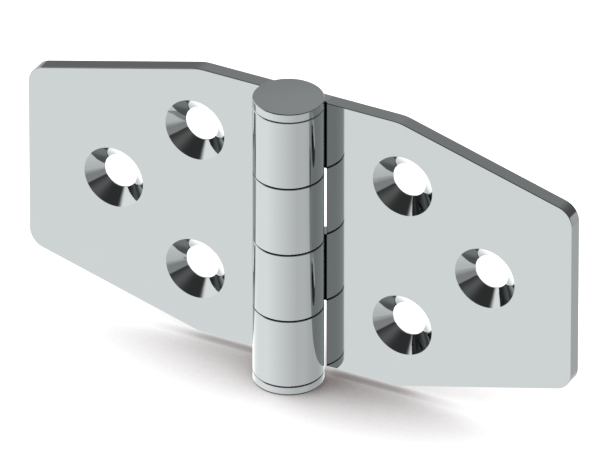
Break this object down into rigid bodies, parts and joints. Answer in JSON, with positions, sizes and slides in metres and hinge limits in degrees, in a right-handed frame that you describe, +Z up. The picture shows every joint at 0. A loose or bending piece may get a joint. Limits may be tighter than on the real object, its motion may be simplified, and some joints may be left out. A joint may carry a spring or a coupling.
{
  "type": "leaf hinge",
  "caption": "Polished leaf hinge: tapered flat leaves with countersunk screw holes swing on a capped pin, for doors, panels and machine covers.",
  "frame": {"origin": "foot of the lower cap, on the pin's axis", "axes": "+Z up along the pin, +X towards the right leaf's free edge, -Y out of the countersunk fronts"},
  "size_m": [0.1502, 0.018, 0.08],
  "materials": {
    "polished_steel": "polished",
    "ground_steel": "satin",
    "black_polymer": "matte"
  },
  "bodies": {
    "left_half": {"left_leaf": "polished_steel", "hinge_pin": "ground_steel", "top_cap": "polished_steel", "bottom_cap": "polished_steel"},
    "right_half": {"right_leaf": "polished_steel", "bush_1": "black_polymer", "bush_2": "black_polymer", "bush_3": "black_polymer", "bush_4": "black_polymer"}
  },
  "joints": [
    {"name": "leaf_swing", "type": "hinge", "parent": "left_half", "child": "right_half", "pos_m": [0, 0, 0], "axis": [0, 0, 1], "range_deg": [-180, 65]}
  ]
}
